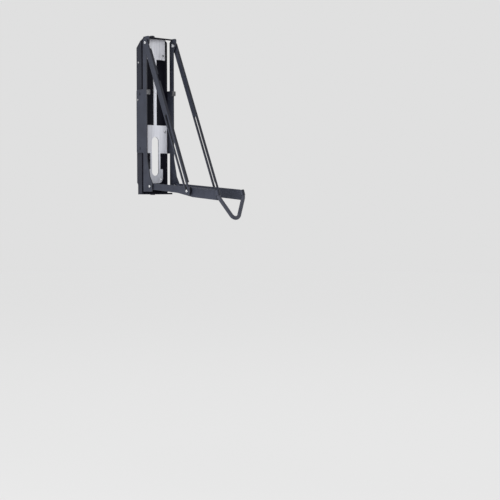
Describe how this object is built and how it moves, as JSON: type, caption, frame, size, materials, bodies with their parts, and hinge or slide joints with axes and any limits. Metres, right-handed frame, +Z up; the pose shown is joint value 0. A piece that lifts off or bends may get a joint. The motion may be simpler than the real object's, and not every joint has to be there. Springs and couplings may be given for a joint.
{
  "type": "bicycle wall rack",
  "caption": "Swivelling wall rack that holds a bicycle upright by its front wheel: black steel frame, slotted stays, fold-up arms and a V-shaped wire cradle.",
  "frame": {"origin": "middle of the wall-screw pattern, on the wall plane", "axes": "+Z up, +Y into the wall, -Y out towards the wheel, +X to the right seen from the room"},
  "size_m": [0.1534, 0.5637, 0.6961],
  "materials": {
    "black_coat": "satin black powder coat",
    "zinc_steel": "bright zinc plate",
    "black_nylon": "moulded black nylon",
    "pale_panel": "satin pale grey sheet",
    "grey_rubber": "dark grey rubber"
  },
  "bodies": {
    "wall_mount": {"upper_wall_bracket": "black_coat", "lower_wall_bracket": "black_coat", "upper_swivel_pin": "black_coat", "lower_swivel_pin": "black_coat", "upper_pin_nut": "zinc_steel", "lower_pin_nut": "zinc_steel"},
    "swing_frame": {"upper_swivel_bush": "black_nylon", "lower_swivel_bush": "black_nylon", "back_channel": "black_coat", "upper_hinge_plate": "black_coat", "lower_hinge_plate": "black_coat", "tyre_panel": "pale_panel", "panel_rivets": "zinc_steel", "left_side_rail": "black_coat", "right_side_rail": "black_coat", "rail_rivets": "black_coat", "side_screws": "zinc_steel", "stop_pads": "grey_rubber", "top_pivot_bolts": "zinc_steel", "top_pivot_nuts": "zinc_steel", "top_pivot_washers": "zinc_steel", "bottom_pivot_bolts": "zinc_steel", "bottom_pivot_nuts": "zinc_steel", "bottom_pivot_washers": "zinc_steel"},
    "cradle_arms": {"left_lower_arm": "black_coat", "right_lower_arm": "black_coat", "arm_bushes": "black_nylon", "slider_nuts": "zinc_steel", "cradle_sleeves": "black_coat", "wire_cradle": "black_coat"},
    "stays": {"left_stay": "black_coat", "right_stay": "black_coat", "stay_bushes": "black_nylon"},
    "stay_sliders": {"slider_bolts": "zinc_steel", "slider_rollers": "black_nylon", "slider_spacers": "black_nylon"}
  },
  "joints": [
    {"name": "swivel", "type": "hinge", "parent": "wall_mount", "child": "swing_frame", "pos_m": [0, -0.07, 0], "axis": [0, 0, 1], "range_deg": [-60, 60]},
    {"name": "arm_fold", "type": "hinge", "parent": "swing_frame", "child": "cradle_arms", "pos_m": [0, -0.14, -0.272], "axis": [-1, 0, 0], "range_deg": [0, 93]},
    {"name": "stay_swing", "type": "hinge", "parent": "swing_frame", "child": "stays", "pos_m": [0, -0.124, 0.266], "axis": [1, 0, 0], "range_deg": [0, 19.88]},
    {"name": "slider_travel", "type": "slide", "parent": "stays", "child": "stay_sliders", "axis": [0, 0.406, 0.9139], "range_m": [0, 0.30134]}
  ],
  "couplings": [
    {"joint": "stay_swing", "follows": "arm_fold", "ratio": 0.21362},
    {"joint": "slider_travel", "follows": "arm_fold", "m_per_rad": 0.18559}
  ]
}
